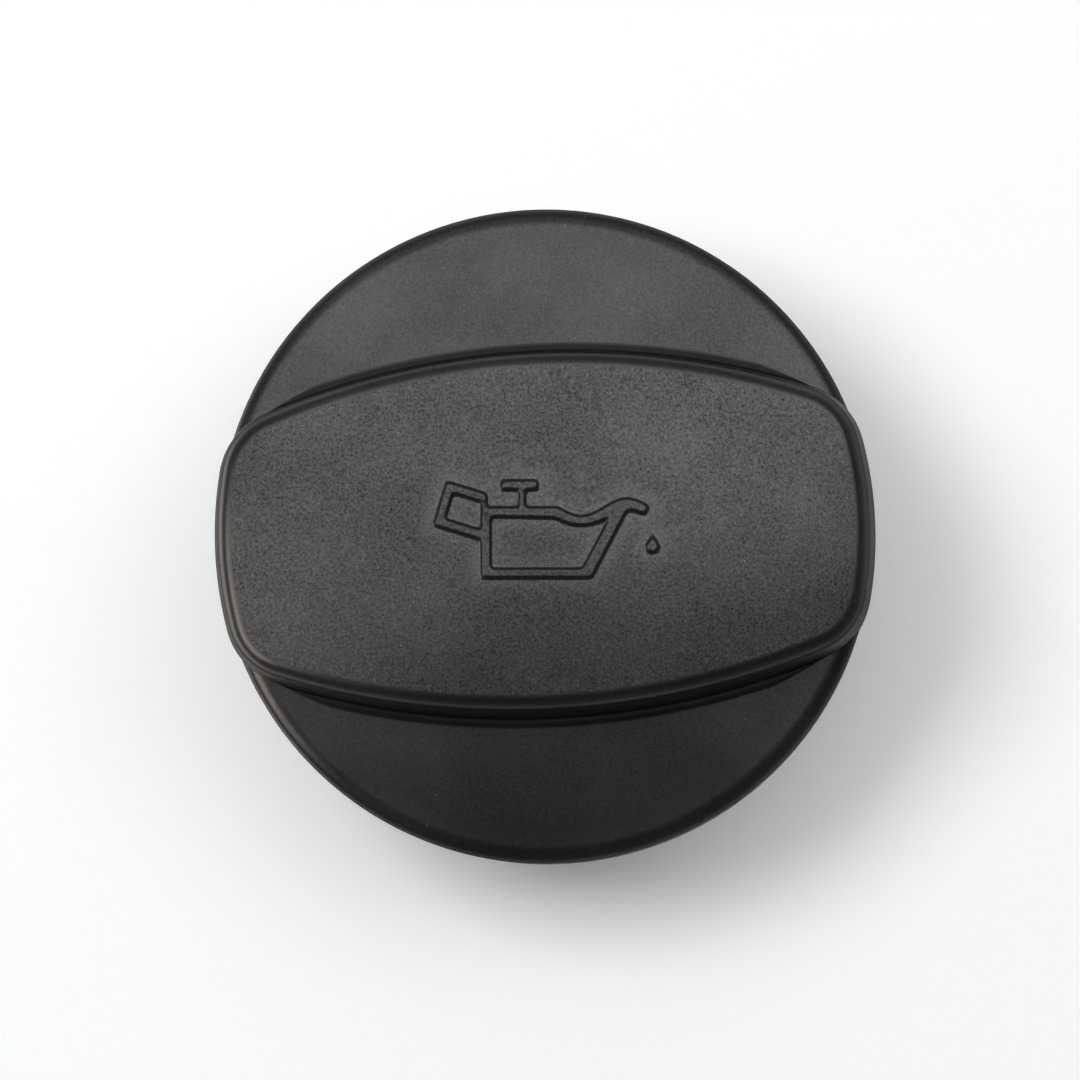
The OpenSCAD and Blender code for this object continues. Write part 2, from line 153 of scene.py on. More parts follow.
class Finishes(bpy.types.PropertyGroup):
    """Colours and surface of the plastics and the rubber."""

    cover: colour("Cover", "#151618", "Glass-filled nylon of the cover")
    plug: colour("Plug", "#1A1B1C", "Glass-filled nylon of the plug")
    rubber: colour("Rubber", "#171717", "Nitrile rubber of the sealing ring")
    haze: colour("Haze", "#1B1917", "Film of handling and fine dust on the cover")
    dust: colour("Dust", "#A9A59C", "Specks of dust in the grain")
    grain_size: length("Grain size", 0.26, "Pitch of the spark-eroded grain")
    grain_depth: length("Grain depth", 0.008, "Depth of the spark-eroded grain")
    # Grain shade paints shade into the grain's pits, which reflect less than the peaks between them.
    grain_shade: FloatProperty(name="Grain shade", default=1.9, min=0, max=3,
                               description="How much less the pits of the grain reflect than the peaks between them")
    roughness: FloatProperty(name="Roughness", default=0.28, min=0, max=1, description="Roughness of the moulded skin")


class StageLooks(bpy.types.PropertyGroup):
    """Floor, lamps and camera."""

    floor: colour("Floor", "#F1F1F1", "Colour of the floor")
    floor_white: FloatProperty(name="Floor white", default=0.2, min=0, max=1,
                               description="Light that the floor adds in the camera's view")
    overhead: FloatProperty(name="Overhead", default=2.5, min=0, description="Brightness of the overhead softbox")
    key: FloatProperty(name="Key", default=8.5, min=0, description="Brightness of the lamp that throws the shadow")
    side: FloatProperty(name="Side", default=6.2, min=0, description="Brightness of the warm lamp at the left")
    world: FloatProperty(name="Ceiling", default=0.03, min=0, description="Brightness of the surroundings overhead")
    walls: FloatProperty(name="Walls", default=0.42, min=0, description="Brightness of the surroundings low down")
    distance: length("Camera distance", 700, "Distance from the camera to the cap")
    lean_x: FloatProperty(name="Lean X", default=math.radians(1.7), subtype="ANGLE",
                          description="Camera's lean to the right of the vertical")
    lean_y: FloatProperty(name="Lean Y", default=math.radians(-3.1), subtype="ANGLE",
                          description="Camera's lean away from the front")
    roll: FloatProperty(name="Roll", default=math.radians(2.75), subtype="ANGLE",
                        description="Turn of the cap in the picture")


def sizes(group):
    """The group's float properties as a plain object: lengths in millimetres, angles in radians."""
    found = {}
    for key in group.__annotations__:
        value = getattr(group, key)
        rna = group.bl_rna.properties[key]
        found[key] = value / MM if rna.unit == "LENGTH" else value
    return type("Sizes", (), found)


def add_share(mesh, name, values):
    """Gives each point of the mesh a value under a name that a material reads."""
    mesh.attributes.new(name, "FLOAT", "POINT").data.foreach_set("value", np.ravel(values).astype(np.float32))


# Leans between which the painted shade of steep faces sets in, in place of the dim surroundings that they mirror, and
# its relief where the room is brighter.
STEEP_FROM, STEEP_FULL = 0.2, 0.65
WALL_FROM, WALL_FULL = 0.7, 0.95
END_RELIEF = 0.15
WALL_RELIEF = 0.35
# Painted shade along the sign's flanks, where their grain is missing.
CREASE_SHADE = 0.6


def flank_share(mesh, grain, crease):
    """How much painted shade each point gets, from 0 on level ground to 1 on a steep face, in place of the dim
    surroundings
    that such faces mirror: a smooth step of its lean, which is one less the height of its normal. The shade is relieved
    a little towards X, and on upright faces towards Y. With crease, a point is at least as shaded as its share of the
    grain is missing, which paints dark lines of shade along the sign's flanks."""
    normals = np.empty(len(mesh.vertices) * 3, np.float32)
    mesh.vertices.foreach_get("normal", normals)
    x, y, z = normals.reshape(-1, 3).T
    lean = 1 - np.abs(z)
    flank = smooth_step(STEEP_FROM, STEEP_FULL, lean) * (1 - END_RELIEF * x ** 2)
    flank *= 1 - WALL_RELIEF * smooth_step(WALL_FROM, WALL_FULL, lean) * y ** 2
    return np.maximum(flank, CREASE_SHADE * np.clip(1 - np.ravel(grain), 0, 1)) if crease else flank


def add_mesh(name, points, faces, grain=None, crease=False):
    """Object from points in millimetres and faces of equal corner count, shaded smooth. Where a share of grain is
    given, it becomes the attribute grain, and the painted shade of steep faces the attribute flank."""
    mesh = bpy.data.meshes.new(name)
    points = np.asarray(points, float).reshape(-1, 3)
    faces = np.asarray(faces, np.int32)
    mesh.vertices.add(len(points))
    mesh.vertices.foreach_set("co", (points * MM).astype(np.float32).ravel())
    mesh.loops.add(faces.size)
    mesh.loops.foreach_set("vertex_index", faces.ravel())
    mesh.polygons.add(len(faces))
    mesh.polygons.foreach_set("loop_start", np.arange(0, faces.size, faces.shape[1], dtype=np.int32))
    mesh.update(calc_edges=True)
    mesh.shade_smooth()
    if grain is not None:
        add_share(mesh, "grain", grain)
        add_share(mesh, "flank", flank_share(mesh, grain, crease))
    made = bpy.data.objects.new(name, mesh)
    bpy.context.scene.collection.objects.link(made)
    return made


def ring_faces(rings, count, closed=True):
    """Quads between successive rings of count points: corner (k, j) to (k + 1, j + 1)."""
    k = np.arange(rings - 1)[:, None]
    j = np.arange(count if closed else count - 1)[None, :]
    after = (j + 1) % count
    return np.stack([k * count + j, k * count + after, (k + 1) * count + after, (k + 1) * count + j], -1).reshape(-1, 4)


def smooth_step(low, high, value):
    """0 below low and 1 above high, with 3 t squared less 2 t cubed between."""
    t = np.clip((value - low) / (high - low), 0, 1)
    return t * t * (3 - 2 * t)


def dome_at(cover, radius):
    """Height of the domed top: the rim's height plus the dome's rise times one less the squared share of the radius."""
    rim = cover.skirt_low + cover.skirt_height
    return rim + cover.dome * (1 - (radius / (cover.diameter / 2)) ** 2)


def crown_at(cover, grip, x, y):
    """Height of the crowned grip: its top less the sagitta of both crown radii."""
    top = cover.skirt_low + cover.skirt_height + cover.dome + grip.height
    return top - x * x / (2 * grip.crown_radius) - y * y / (2 * grip.cross_radius)


def grip_outline(grip, steps):
    """The grip in plan as arcs: points of each end, corner and side, and their outward normals.
    The corner's middle lies where the side's and the end's circles, both less the corner's radius, meet."""
    side = np.array([0, grip.width / 2 - grip.side_radius])
    end = np.array([grip.length / 2 - grip.end_radius, 0])
    gap = end - side
    dist = np.hypot(*gap)
    a = grip.side_radius - grip.corner_radius
    b = grip.end_radius - grip.corner_radius
    along = (a * a - b * b + dist * dist) / (2 * dist)
    off = math.sqrt(a * a - along * along)
    u = gap / dist
    corner = side + along * u + off * np.array([u[1], -u[0]])
    side_from = math.atan2(corner[1] - side[1], corner[0] - side[0])
    end_to = math.atan2(corner[1] - end[1], corner[0] - end[0])
    flip_x, flip_y = np.array([-1, 1]), np.array([1, -1])
    half, full = math.pi, 2 * math.pi
    arcs = [
        (end, grip.end_radius, -end_to, end_to),
        (corner, grip.corner_radius, end_to, side_from),
        (side, grip.side_radius, side_from, half - side_from),
        (corner * flip_x, grip.corner_radius, half - side_from, half - end_to),
        (-end, grip.end_radius, half - end_to, half + end_to),
        (-corner, grip.corner_radius, half + end_to, half + side_from),
        (-side, grip.side_radius, half + side_from, full - side_from),
        (corner * flip_y, grip.corner_radius, full - side_from, full - end_to),
    ]
    points, normals = [], []
    for middle, radius, low, high in arcs:
        angle = np.linspace(low, high, steps, endpoint=False)
        normal = np.stack([np.cos(angle), np.sin(angle)], 1)
        points.append(middle + radius * normal)
        normals.append(normal)
    return np.concatenate(points), np.concatenate(normals)


def outline_depth(grip, x, y):
    """How far a place in plan lies inside the grip's sides and ends: the least gap to the four circles."""
    side = grip.side_radius - np.hypot(x, np.abs(y) + grip.side_radius - grip.width / 2)
    end = grip.end_radius - np.hypot(np.abs(x) + grip.end_radius - grip.length / 2, y)
    return np.minimum(side, end)


def sign_field(sign):
    """The rectangle of the grip's top that carries the sign: its corners and the counts of steps along it."""
    tip = sign.spout_from + sign.dip_length + sign.nose_length
    low = np.array([-sign.can_width / 2 - sign.ear_reach, sign.can_rise - sign.can_height])
    high = np.array([max(tip, sign.drop_at + sign.drop_radius), sign.can_rise + sign.knob_height])
    low, high = low - sign.margin, high + sign.margin
    low[0], high[0] = low[0] + sign.place, high[0] + sign.place
    nx, ny = (np.ceil((high - low) / sign.step)).astype(int)
    return low, high, nx, ny


def rectangle_loop(low, high, nx, ny):
    """Points round a rectangle from its lower right corner, turning left, evenly spaced along each side."""
    xs, ys = np.linspace(low[0], high[0], nx + 1), np.linspace(low[1], high[1], ny + 1)
    return np.concatenate([
        np.stack([np.full(ny, high[0]), ys[:-1]], 1),
        np.stack([xs[:0:-1], np.full(nx, high[1])], 1),
        np.stack([np.full(ny, low[0]), ys[:0:-1]], 1),
        np.stack([xs[:-1], np.full(nx, low[1])], 1),
    ])


def outline_towards(grip, middle, targets, steps=900):
    """Points and normals of the outline in the direction of each target, seen from the middle."""
    points, normals = grip_outline(grip, steps)
    angle = np.unwrap(np.arctan2(*(points - middle).T[::-1]))
    wanted = np.arctan2(*(targets - middle).T[::-1])
    both = np.concatenate([points, normals], 1)
    columns = [np.interp(wanted, angle, column, period=2 * math.pi) for column in both.T]
    found = np.stack(columns, 1)
    return found[:, :2], found[:, 2:] / np.hypot(found[:, 2], found[:, 3])[:, None]


# Steps and offsets of the grip's rings, in millimetres from its outline and from the dome.
BASE_INSET = 1.9
BASE_SINK = 0.7
BASE_BLEND = 0.6
FOOT_STEPS = 10
FOOT_SKIRT = 0.25
FOOT_SINK = 0.01
WALL_STEPS = 8
EDGE_STEPS = 14
EDGE_GRAIN = 0.3
BRIM_INSETS = (0.12, 0.5)
TOP_STEPS = 16
END_ROUND = 0.3


def grip_rings(cover, grip, sign):
    """The grip as rings carried round its outline, each moved along the outline's normals and set to a height: a
    rounded lower edge at the ends, the fillet at the foot, the leaning wall, the rounded upper edge, and the
    crowned top drawn in to the sign's field. The lower rings lie hidden under the dome except at the ends."""
    low, high, nx, ny = sign_field(sign)
    field = rectangle_loop(low, high, nx, ny)
    point, normal = outline_towards(grip, (low + high) / 2, field)
    radius = np.hypot(*point.T)
    rim_from = cover.diameter / 2 - cover.rim_radius
    foot = np.clip((rim_from - radius) / grip.foot_fade, 0, 1)
    sunk = smooth_step(rim_from, rim_from + BASE_BLEND, radius)
    end_low = cover.skirt_low + grip.end_step

    def place(out, height):
        spread = point + normal * np.broadcast_to(out, radius.shape)[:, None]
        return spread, np.broadcast_to(height(spread), radius.shape)

    def base(up):
        return lambda p: (end_low + up) * sunk + (1 - sunk) * (dome_at(cover, np.hypot(*p.T)) - BASE_SINK)

    rings, grain = [], []

    def add(ring, share):
        rings.append(np.concatenate([ring[0], ring[1][:, None]], 1))
        grain.append(np.full(len(radius), share))

    add(place(-BASE_INSET, base(0)), 0)
    for a in np.radians([0, 30, 60, 90]):
        add(place(foot * grip.foot_radius - END_ROUND * (1 - math.sin(a)), base(END_ROUND * (1 - math.cos(a)))), 0)
    add(place(foot * (grip.foot_radius + FOOT_SKIRT), lambda p: dome_at(cover, np.hypot(*p.T)) - FOOT_SINK), 0)
    for a in np.linspace(0, math.pi / 2, FOOT_STEPS):
        add(place(foot * grip.foot_radius * (1 - math.sin(a)),
                  lambda p: dome_at(cover, np.hypot(*p.T)) + grip.foot_radius * (1 - math.cos(a))), 0)
    wall_low = rings[-1]
    spread, height = place(-grip.draft, lambda p: crown_at(cover, grip, *p.T) - grip.edge_radius)
    wall_high = np.concatenate([spread, height[:, None]], 1)
    for t in np.linspace(0, 1, WALL_STEPS + 1)[1:-1]:
        rings.append(wall_low * (1 - t) + wall_high * t)
        grain.append(np.zeros(len(radius)))
    for a in np.linspace(0, math.pi / 2, EDGE_STEPS):
        add(place(-grip.draft - grip.edge_radius * (1 - math.cos(a)),
                  lambda p: crown_at(cover, grip, *p.T) - grip.edge_radius * (1 - math.sin(a))),
            EDGE_GRAIN * math.sin(a))
    brink = grip.draft + grip.edge_radius
    for inset in BRIM_INSETS:
        add(place(-brink - inset, lambda p: crown_at(cover, grip, *p.T)), 1)
    brim = rings[-1][:, :2]
    for t in np.linspace(0, 1, TOP_STEPS + 1)[1:]:
        spread = brim * (1 - t) + field * t
        add((spread, crown_at(cover, grip, *spread.T)), 1)
    return np.array(rings), np.array(grain)


def polygon_distance(x, y, corners):
    """Distance to a polygon's edge, negative inside: the least distance to its segments, and the parity
    of the edges that a ray along X crosses."""
    start = np.asarray(corners, float)
    edge = np.roll(start, -1, 0) - start
    keep = np.hypot(*edge.T) > 1e-9
    start, edge = start[keep], edge[keep]
    px, py = x[..., None] - start[:, 0], y[..., None] - start[:, 1]
    t = np.clip((px * edge[:, 0] + py * edge[:, 1]) / (edge ** 2).sum(1), 0, 1)
    away = np.hypot(px - t * edge[:, 0], py - t * edge[:, 1]).min(-1)
    rises = (py < 0) != (py - edge[:, 1] < 0)
    slope = np.divide(edge[:, 0], edge[:, 1], out=np.zeros(len(edge)), where=edge[:, 1] != 0)
    inside = (rises & (px < py * slope)).sum(-1) % 2 == 1
    return np.where(inside, -away, away)


def swan_line(sign, x):
    """The can's upper line: level, then half a sine down and half a sine up to the spout's nose."""
    dip = -sign.dip * np.sin(math.pi * (x - sign.spout_from) / sign.dip_length)
    nose = sign.nose * np.sin(math.pi * (x - sign.spout_from - sign.dip_length) / sign.nose_length)
    return sign.can_rise + np.where(x < sign.spout_from, 0, np.where(x < sign.spout_from + sign.dip_length, dip, nose))


def can_outer(sign):
    """Outer contour of the can with its spout."""
    tip = sign.spout_from + sign.dip_length + sign.nose_length
    slant = tip - sign.nose_length / 2 - sign.can_width / 2
    half, top, low = sign.can_width / 2, sign.can_rise, sign.can_rise - sign.can_height
    swan = np.concatenate([
        np.linspace(sign.spout_from, sign.spout_from + sign.dip_length, 17)[:-1],
        np.linspace(sign.spout_from + sign.dip_length, tip, 17)])
    return np.concatenate([
        [[-half, low], [-half, top]],
        np.stack([swan, swan_line(sign, swan)], 1),
        [[tip - sign.stroke / 2, top - sign.stroke * 0.85], [tip - sign.nose_length * 0.37, top - sign.stroke * 0.45],
         [half + slant, top - sign.stroke / 2], [half, low]]])


def can_inner(sign):
    """Inner contour of the can, one stroke in."""
    low = sign.can_rise - sign.can_height + sign.stroke
    lean = (sign.spout_from + sign.dip_length + sign.nose_length / 2 - sign.can_width / 2) / (
        sign.can_height - sign.stroke / 2)
    right = sign.can_width / 2 + lean * sign.stroke - sign.slant_stroke * math.sqrt(1 + lean * lean)
    share = np.linspace(0, 2, 17)
    x = sign.spout_from + sign.dip_length * share / 2
    curve = np.stack([x - sign.stroke * 0.35 * (1 - share),
                      swan_line(sign, x) - sign.stroke * (1 + 0.12 * np.abs(1 - share))], 1)
    return np.concatenate([
        [[-sign.can_width / 2 + sign.stroke, low], [-sign.can_width / 2 + sign.stroke, sign.can_rise - sign.stroke]],
        curve,
        [[right, low]]])


def can_ear(sign):
    """Outer and inner contour of the can's sloped handle."""
    side = np.array([math.sin(sign.ear_lean), math.cos(sign.ear_lean)])
    along = np.array([math.cos(sign.ear_slope), -math.sin(sign.ear_slope)])
    wall = -sign.can_width / 2
    post = wall + sign.ear_post
    low = np.array([wall - sign.ear_reach, sign.can_rise + sign.ear_rise - sign.ear_length * side[1]])
    top = low + sign.ear_length * side
    in_low = low + sign.stroke * (along + side)
    in_top = top + sign.stroke * (along - side)

    def carried(start, x):
        return start + along * (x - start[0]) / along[0]

    outer = [low, top, carried(top, post), [post, sign.can_rise - sign.stroke / 2], carried(low, post)]
    inner = [in_low, in_top, carried(in_top, wall), carried(in_low, wall)]
    return outer, inner


def box_corners(x, y, width, height):
    """Corners of an upright rectangle from its lower left one."""
    return [[x, y], [x + width, y], [x + width, y + height], [x, y + height]]


def sign_distance(sign, x, y):
    """Distance to the sign's edge, negative inside: shapes joined by the least distance, cut by the greatest."""
    turned_x = (x - sign.place) * math.cos(sign.turn) + y * math.sin(sign.turn)
    turned_y = y * math.cos(sign.turn) - (x - sign.place) * math.sin(sign.turn)

    def inside(corners):
        return polygon_distance(turned_x, turned_y, corners)

    ear_outer, ear_inner = can_ear(sign)
    drop_y = sign.can_rise - sign.drop_down
    drop_side = sign.drop_radius * 0.9
    shapes = [
        np.maximum(inside(can_outer(sign)), -inside(can_inner(sign))),
        np.maximum(inside(ear_outer), -inside(ear_inner)),
        inside(box_corners(sign.knob_at - sign.knob_width / 2, sign.can_rise + sign.knob_height - sign.stroke,
                           sign.knob_width, sign.stroke)),
        inside(box_corners(sign.knob_at - sign.knob_stem / 2 + sign.knob_lean, sign.can_rise - sign.stroke / 2,
                           sign.knob_stem, sign.knob_height)),
        np.hypot(turned_x - sign.drop_at, turned_y - (drop_y - sign.drop_height + sign.drop_radius)) - sign.drop_radius,
        inside([[sign.drop_at, drop_y],
                [sign.drop_at - drop_side, drop_y - sign.drop_height + sign.drop_radius * 1.4],
                [sign.drop_at + drop_side, drop_y - sign.drop_height + sign.drop_radius * 1.4]]),
    ]
    return np.minimum.reduce(shapes)


def softened(field, spread):
    """A grid's values averaged with a bell curve of the given spread in steps, first along X, then along Y."""
    taps = np.arange(-math.ceil(3 * spread), math.ceil(3 * spread) + 1)
    weights = np.exp(-taps ** 2 / (2 * spread ** 2))
    weights /= weights.sum()
    for _ in range(2):
        padded = np.pad(field, ((0, 0), (taps[-1], taps[-1])), mode="edge")
        field = sum(w * padded[:, taps[-1] + t:taps[-1] + t + field.shape[1]] for w, t in zip(weights, taps)).T
    return field


def sign_patch(cover, grip, sign):
    """The sign's field as a grid: the crown plus the relief times a smooth step of the distance into the sign,
    which is softened so that the lines' corners are round. Also the share of grain, which is missing on the
    sign's flanks, and a halo of painted sheen, which fades from the sign's foot to the field's border."""
    low, high, nx, ny = sign_field(sign)
    x, y = np.meshgrid(np.linspace(low[0], high[0], nx + 1), np.linspace(low[1], high[1], ny + 1))
    into = softened(-sign_distance(sign, x, y), sign.soften / sign.step)
    raised = smooth_step(-sign.slope_out, sign.slope_in, into)
    points = np.stack([x, y, crown_at(cover, grip, x, y) + sign.relief * raised], -1)
    # A halo that paints a brighter sheen round the sign's foot.
    worn = (1 - raised) * smooth_step(-sign.margin, 0, into)
    return points, 1 - 3 * raised * (1 - raised), worn


def revolve(name, profile, segments, grain=None):
    """A profile of radius and height pairs carried round Z. The profile runs so that its left side is outside."""
    angle = np.linspace(0, 2 * math.pi, segments, endpoint=False)
    profile = np.asarray(profile, float)
    points = np.stack([
        profile[:, :1] * np.cos(angle), profile[:, :1] * np.sin(angle),
        np.broadcast_to(profile[:, 1:], (len(profile), segments))], -1)
    faces = ring_faces(len(profile), segments)
    share = None if grain is None else np.repeat(np.asarray(grain), segments)
    return add_mesh(name, points, faces, share)


def rounded(corners, segments=5):
    """A profile whose corners (radius, height, rounding) are replaced by arcs tangent to both of their sides."""
    corners = np.asarray(corners, float)
    out = [corners[0, :2]]
    for before, here, after in zip(corners[:-2], corners[1:-1], corners[2:]):
        a, b = before[:2] - here[:2], after[:2] - here[:2]
        a, b = a / np.hypot(*a), b / np.hypot(*b)
        half = math.acos(np.clip(a @ b, -1, 1)) / 2
        if here[2] <= 0 or half > math.pi / 2 - 1e-3:
            out.append(here[:2])
            continue
        reach = here[2] / math.tan(half)
        start, stop = here[:2] + a * reach, here[:2] + b * reach
        middle = here[:2] + (a + b) / np.hypot(*(a + b)) * here[2] / math.sin(half)
        first = math.atan2(*(start - middle)[::-1])
        turn = (math.atan2(*(stop - middle)[::-1]) - first + math.pi) % (2 * math.pi) - math.pi
        angle = first + turn * np.linspace(0, 1, segments + 1)
        out.extend(middle + here[2] * np.stack([np.cos(angle), np.sin(angle)], 1))
    out.append(corners[-1, :2])
    return np.array(out)


def cover_profile(cover):
    """The cover's outside as a profile: skirt's inner foot, lower edge, skirt, rounded rim and dome."""
    outer = cover.diameter / 2
    dome_from = outer - cover.rim_radius
    rim_middle = dome_at(cover, dome_from) - cover.rim_drop
    low, ease = cover.skirt_low, cover.chamfer
    foot = rounded([[outer - cover.wall, low + 1, 0], [outer - cover.wall, low, 0.15],
                    [outer, low, ease], [outer, rim_middle, 0]])
    angle = np.radians(np.linspace(0, 84, 20))
    rim = np.stack([dome_from + cover.rim_radius * np.cos(angle), rim_middle + cover.rim_drop * np.sin(angle)], 1)
    radius = np.linspace(dome_from, 0.5, 46)
    dome = np.stack([radius, dome_at(cover, radius)], 1)
    return np.concatenate([foot[:-1], rim, dome[1:]])


def node(tree, kind, settings=None, **links):
    """Adds a node with its settings and input values or links. A link is a pair of node and socket name."""
    made = tree.nodes.new(kind)
    for key, value in (settings or {}).items():
        setattr(made, key, value)
    for key, value in links.items():
        by_number = key[0] == "i" and key[1:].isdigit()
        socket = made.inputs[int(key[1:])] if by_number else made.inputs[key.replace("_", " ")]
        if isinstance(value, tuple) and isinstance(value[0], bpy.types.Node):
            tree.links.new(value[0].outputs[value[1]], socket)
        else:
            socket.default_value = value
    return made


def rgba(values):
    """A colour property's three values with full opacity."""
    return (*values, 1)


# Pitches of the moulded skin's pattern, film and specks, and the levels of sheen, painted sheen and shade, roughness
# and haze.
SKIN_PITCH = 1.1 * MM
FILM_PITCH = 12 * MM
SPECK_PITCH = 2.2 * MM
SPECK_SIZE = 0.016
SKIN_SHARE = 0.25
SHEEN_LOW, SHEEN_HIGH = 0.26, 0.74
HALO_SHEEN = 0.2
SHADED_SHEEN = 0.05
FLANK_ROUGHNESS = 0.3
HAZE_FROM, HAZE_FULL = 0.45, 0.7


def moulded_nylon(name, base, haze, dust, looks):
    """Glass-filled nylon 66, injection moulded. The spark-eroded face of the mould leaves a fine matt grain, with
    painted shade in its pits, where the mesh's grain attribute is 1, and a smooth satin skin where it is 0 or missing.
    Where flank nears 1 the sheen fades in painted shade, for the walls that the real cap's dim surroundings leave dark,
    and the skin is rougher; where the sign's halo nears 1 a brighter sheen is painted. A thin film and a few specks of
    dust lie on it."""
    material = bpy.data.materials.new(name)
    material.use_nodes = True
    tree = material.node_tree
    tree.nodes.clear()
    here = (node(tree, "ShaderNodeTexCoord"), "Object")
    pits = node(tree, "ShaderNodeTexNoise", Vector=here, Scale=1 / looks.grain_size, Detail=3.0, Roughness=0.75)
    skin = node(tree, "ShaderNodeTexNoise", Vector=here, Scale=1 / SKIN_PITCH, Detail=3.0, Roughness=0.6)
    film = node(tree, "ShaderNodeTexNoise", Vector=here, Scale=1 / FILM_PITCH, Detail=4.0, Roughness=0.55)
    cells = node(tree, "ShaderNodeTexVoronoi", Vector=here, Scale=1 / SPECK_PITCH, Randomness=1.0)
    share = node(tree, "ShaderNodeAttribute", {"attribute_name": "grain"})
    flank = node(tree, "ShaderNodeAttribute", {"attribute_name": "flank"})
    worn = node(tree, "ShaderNodeAttribute", {"attribute_name": "worn"})

    depth = node(tree, "ShaderNodeMath", {"operation": "MULTIPLY"}, i0=(pits, "Fac"), i1=(share, "Fac"))
    height = node(tree, "ShaderNodeMath", {"operation": "MULTIPLY_ADD"}, i0=(skin, "Fac"), i1=SKIN_SHARE, i2=(depth, 0))
    bump = node(tree, "ShaderNodeBump", Strength=1.0, Distance=looks.grain_depth, Height=(height, 0))

    # Painted shade: the grain's pits reflect less than its peaks.
    pit_shade = node(tree, "ShaderNodeMapRange", {"clamp": False}, i0=(pits, "Fac"), i1=0.0, i2=1.0,
               i3=-looks.grain_shade / 2, i4=looks.grain_shade / 2)
    wear = node(tree, "ShaderNodeMapRange", {"clamp": False}, i0=(film, "Fac"), i1=0.0, i2=1.0,
                i3=SHEEN_LOW, i4=SHEEN_HIGH)
    # Painted sheen: a brighter halo round the sign's foot, added to the film's sheen.
    film_and_halo_sheen = node(tree, "ShaderNodeMath", {"operation": "MULTIPLY_ADD"}, i0=(worn, "Fac"), i1=HALO_SHEEN,
                  i2=(wear, 0))
    sheen = node(tree, "ShaderNodeMath", {"operation": "MULTIPLY_ADD"}, i0=(pit_shade, 0), i1=(share, "Fac"), i2=(film_and_halo_sheen, 0))
    # Painted shade: the sheen fades on steep faces, in place of the dim surroundings that they would mirror.
    steep_shade = node(tree, "ShaderNodeMapRange", i0=(flank, "Fac"), i1=0.0, i2=1.0, i3=1.0, i4=SHADED_SHEEN)
    gloss = node(tree, "ShaderNodeMath", {"operation": "MULTIPLY", "use_clamp": True}, i0=(sheen, 0), i1=(steep_shade, 0))
    rough = node(tree, "ShaderNodeMapRange", i0=(flank, "Fac"), i1=0.0, i2=1.0,
                 i3=looks.roughness, i4=looks.roughness + FLANK_ROUGHNESS)

    hazy = node(tree, "ShaderNodeMapRange", i0=(film, "Fac"), i1=HAZE_FROM, i2=HAZE_FULL, i3=0.0, i4=1.0)
    tint = node(tree, "ShaderNodeMix", {"data_type": "RGBA"}, i0=(hazy, 0), i6=rgba(base), i7=rgba(haze))
    speck = node(tree, "ShaderNodeMath", {"operation": "LESS_THAN"}, i0=(cells, "Distance"), i1=SPECK_SIZE)
    coat = node(tree, "ShaderNodeMix", {"data_type": "RGBA"}, i0=(speck, 0), i6=(tint, 2), i7=rgba(dust))
    shader = node(tree, "ShaderNodeBsdfPrincipled", Base_Color=(coat, 2), Roughness=(rough, 0),
                  IOR=1.5, Specular_IOR_Level=(gloss, 0), Normal=(bump, "Normal"))
    node(tree, "ShaderNodeOutputMaterial", Surface=(shader, "BSDF"))
    return material


BLOOM_PITCH = 3 * MM
BLOOM_DARK, BLOOM_PALE = 0.75, 1.5
PORE_PITCH = 0.15 * MM
PORE_DEPTH = 0.008 * MM


def nitrile_rubber(name, base):
    """Black nitrile rubber, pressed: matt, with a soft bloom that changes its shade and roughness, and fine pores."""
    material = bpy.data.materials.new(name)
    material.use_nodes = True
    tree = material.node_tree
    tree.nodes.clear()
    place = node(tree, "ShaderNodeTexCoord")
    bloom = node(tree, "ShaderNodeTexNoise", Vector=(place, "Object"), Scale=1 / BLOOM_PITCH, Detail=4.0, Roughness=0.6)
    pores = node(tree, "ShaderNodeTexNoise", Vector=(place, "Object"), Scale=1 / PORE_PITCH, Detail=2.0)
    tint = node(tree, "ShaderNodeMix", {"data_type": "RGBA"}, i0=(bloom, "Fac"),
                i6=rgba([c * BLOOM_DARK for c in base]), i7=rgba([c * BLOOM_PALE for c in base]))
    bump = node(tree, "ShaderNodeBump", Strength=0.6, Distance=PORE_DEPTH, Height=(pores, "Fac"))
    rough = node(tree, "ShaderNodeMapRange", i0=(bloom, "Fac"), i1=0.3, i2=0.7, i3=0.5, i4=0.64)
    shader = node(tree, "ShaderNodeBsdfPrincipled", Base_Color=(tint, 2), Roughness=(rough, 0),
                  IOR=1.52, Normal=(bump, "Normal"))
    node(tree, "ShaderNodeOutputMaterial", Surface=(shader, "BSDF"))
    return material


def material_named(name, make):
    """The material of that name, made on first use."""
    return bpy.data.materials.get(name) or make(name)


def cover_plastic(context):
    """The cover's nylon, with film and dust."""
    looks = context.scene.cap_finishes
    return material_named("spark_eroded_nylon",
                          lambda name: moulded_nylon(name, looks.cover, looks.haze, looks.dust, looks))


def plug_plastic(context):
    """The plug's nylon, clean, which the cover's inside has too."""
    looks = context.scene.cap_finishes
    return material_named("smooth_moulded_nylon",
                          lambda name: moulded_nylon(name, looks.plug, looks.plug, looks.plug, looks))


def finish_piece(piece, material, slot_name, *replaced):
    """Gives a new piece its material, lets it ride, and hides the nodes that it stands for. The slot name is not used.
    """
    piece.data.materials.clear()
    piece.data.materials.append(material)
    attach(piece, BODY)
    if replaced:
        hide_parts(*replaced)


